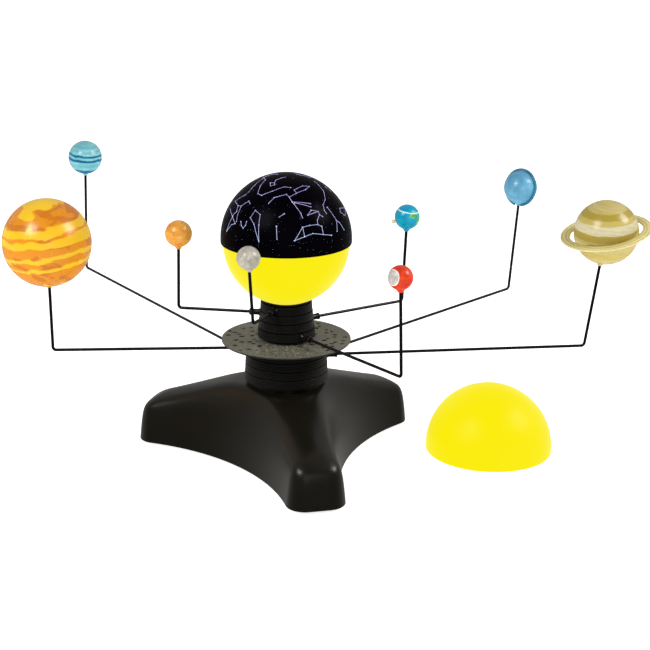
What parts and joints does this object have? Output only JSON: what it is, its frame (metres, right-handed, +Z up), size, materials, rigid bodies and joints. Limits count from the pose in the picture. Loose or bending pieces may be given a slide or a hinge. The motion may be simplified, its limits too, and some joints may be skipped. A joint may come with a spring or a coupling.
{
  "type": "orrery",
  "caption": "Motorised desktop orrery: three-legged base, geared column of tiers with wire arms and planets, asteroid disc, lit sun with lift-off star dome, and a spare dome.",
  "frame": {"origin": "on the column's axis, in the plane of the bottom cover's underside, 1.5 mm above the surface the pads stand on", "axes": "+Z up along the column; +X towards Saturn, along the longest side; -Y towards the viewer, where one leg points"},
  "size_m": [0.5473, 0.477, 0.2468],
  "materials": {
    "base_plastic": "satin moulded black",
    "column_plastic": "satin moulded black, fine turned grooves",
    "inner_plastic": "matt moulded",
    "gear_plastic": "natural acetal",
    "pad_rubber": "matt",
    "screw_steel": "plated",
    "battery_can": "plain printed sleeve",
    "arm_wire": "satin black over steel wire",
    "asteroid_grey": "moulded rock relief",
    "circuit_board": "solder mask",
    "lamp_clear": "clear, lit",
    "sun_yellow": "translucent yellow, lit from inside",
    "star_black": "gloss black with see-through star lines",
    "mercury_paint": "glossy paint",
    "venus_paint": "glossy paint",
    "earth_paint": "glossy paint",
    "moon_paint": "glossy paint",
    "mars_paint": "glossy paint",
    "jupiter_paint": "glossy paint",
    "saturn_paint": "glossy paint",
    "uranus_paint": "glossy paint",
    "neptune_paint": "glossy paint"
  },
  "bodies": {
    "base": {"base_housing": "base_plastic", "bottom_cover": "base_plastic", "battery_door": "base_plastic", "foot_pad_1": "pad_rubber", "foot_pad_2": "pad_rubber", "foot_pad_3": "pad_rubber", "cover_screw_1": "screw_steel", "cover_screw_2": "screw_steel", "cover_screw_3": "screw_steel", "battery_tray": "inner_plastic", "battery_1": "battery_can", "battery_2": "battery_can", "battery_3": "battery_can", "switch_body": "inner_plastic", "gearbox_case": "inner_plastic", "chassis_plate": "inner_plastic", "motor": "screw_steel", "central_core": "inner_plastic", "asteroid_disc": "asteroid_grey", "lamp_cup": "column_plastic", "lamp_board": "circuit_board", "lamp_led": "lamp_clear", "sun_lower_dome": "sun_yellow"},
    "mercury_orbiter": {"mercury_tier": "column_plastic", "mercury_arm": "arm_wire", "mercury": "mercury_paint"},
    "venus_orbiter": {"venus_tier": "column_plastic", "venus_arm": "arm_wire", "venus": "venus_paint"},
    "earth_orbiter": {"earth_tier": "column_plastic", "earth_arm": "arm_wire", "earth": "earth_paint", "moon": "moon_paint"},
    "mars_orbiter": {"mars_tier": "column_plastic", "mars_arm": "arm_wire", "mars": "mars_paint"},
    "jupiter_orbiter": {"jupiter_tier": "column_plastic", "jupiter_arm": "arm_wire", "jupiter": "jupiter_paint"},
    "saturn_orbiter": {"saturn_tier": "column_plastic", "saturn_arm": "arm_wire", "saturn": "saturn_paint", "saturn_ring": "saturn_paint"},
    "uranus_orbiter": {"uranus_tier": "column_plastic", "uranus_arm": "arm_wire", "uranus": "uranus_paint", "uranus_ring": "uranus_paint"},
    "neptune_orbiter": {"neptune_tier": "column_plastic", "neptune_arm": "arm_wire", "neptune": "neptune_paint"},
    "lay_gears": {"lay_shaft": "screw_steel", "pinion_stack": "gear_plastic", "drive_gear": "gear_plastic"},
    "motor_gear": {"motor_pinion": "gear_plastic"},
    "star_cap": {"star_dome": "star_black"},
    "spare_cap": {"spare_dome": "sun_yellow"},
    "switch_button": {"power_switch": "inner_plastic"}
  },
  "joints": [
    {"name": "jupiter_orbit", "type": "hinge", "parent": "base", "child": "jupiter_orbiter", "pos_m": [0, 0, 0.0942], "axis": [0, 0, 1], "continuous": true},
    {"name": "mercury_orbit", "type": "hinge", "parent": "base", "child": "mercury_orbiter", "pos_m": [0, 0, 0.132], "axis": [0, 0, 1], "continuous": true},
    {"name": "venus_orbit", "type": "hinge", "parent": "base", "child": "venus_orbiter", "pos_m": [0, 0, 0.1244], "axis": [0, 0, 1], "continuous": true},
    {"name": "earth_orbit", "type": "hinge", "parent": "base", "child": "earth_orbiter", "pos_m": [0, 0, 0.1168], "axis": [0, 0, 1], "continuous": true},
    {"name": "mars_orbit", "type": "hinge", "parent": "base", "child": "mars_orbiter", "pos_m": [0, 0, 0.1092], "axis": [0, 0, 1], "continuous": true},
    {"name": "saturn_orbit", "type": "hinge", "parent": "base", "child": "saturn_orbiter", "pos_m": [0, 0, 0.0866], "axis": [0, 0, 1], "continuous": true},
    {"name": "uranus_orbit", "type": "hinge", "parent": "base", "child": "uranus_orbiter", "pos_m": [0, 0, 0.079], "axis": [0, 0, 1], "continuous": true},
    {"name": "neptune_orbit", "type": "hinge", "parent": "base", "child": "neptune_orbiter", "pos_m": [0, 0, 0.0714], "axis": [0, 0, 1], "continuous": true},
    {"name": "lay_shaft_spin", "type": "hinge", "parent": "base", "child": "lay_gears", "pos_m": [0, 0.012, 0.088], "axis": [0, 0, 1], "continuous": true},
    {"name": "motor_spin", "type": "hinge", "parent": "base", "child": "motor_gear", "pos_m": [0.01358, -0.00158, 0.046], "axis": [0, 0, 1], "continuous": true},
    {"name": "star_dome_lift", "type": "slide", "parent": "base", "child": "star_cap", "axis": [0, 0, 1], "range_m": [0, 0.08]},
    {"name": "spare_dome_lift", "type": "slide", "parent": "base", "child": "spare_cap", "axis": [0, 0, 1], "range_m": [0, 0.02]},
    {"name": "power_switch_slide", "type": "slide", "parent": "base", "child": "switch_button", "axis": [-0.9799, -0.1994, 0], "range_m": [-0.0025, 0.0025]}
  ],
  "couplings": [
    {"joint": "mercury_orbit", "follows": "jupiter_orbit", "ratio": 1.2526},
    {"joint": "venus_orbit", "follows": "jupiter_orbit", "ratio": 1.1946},
    {"joint": "earth_orbit", "follows": "jupiter_orbit", "ratio": 1.1333},
    {"joint": "mars_orbit", "follows": "jupiter_orbit", "ratio": 1.0686},
    {"joint": "saturn_orbit", "follows": "jupiter_orbit", "ratio": 0.92727},
    {"joint": "uranus_orbit", "follows": "jupiter_orbit", "ratio": 0.85},
    {"joint": "neptune_orbit", "follows": "jupiter_orbit", "ratio": 0.76774},
    {"joint": "lay_shaft_spin", "follows": "jupiter_orbit", "ratio": 3.4},
    {"joint": "motor_spin", "follows": "jupiter_orbit", "ratio": -17}
  ]
}
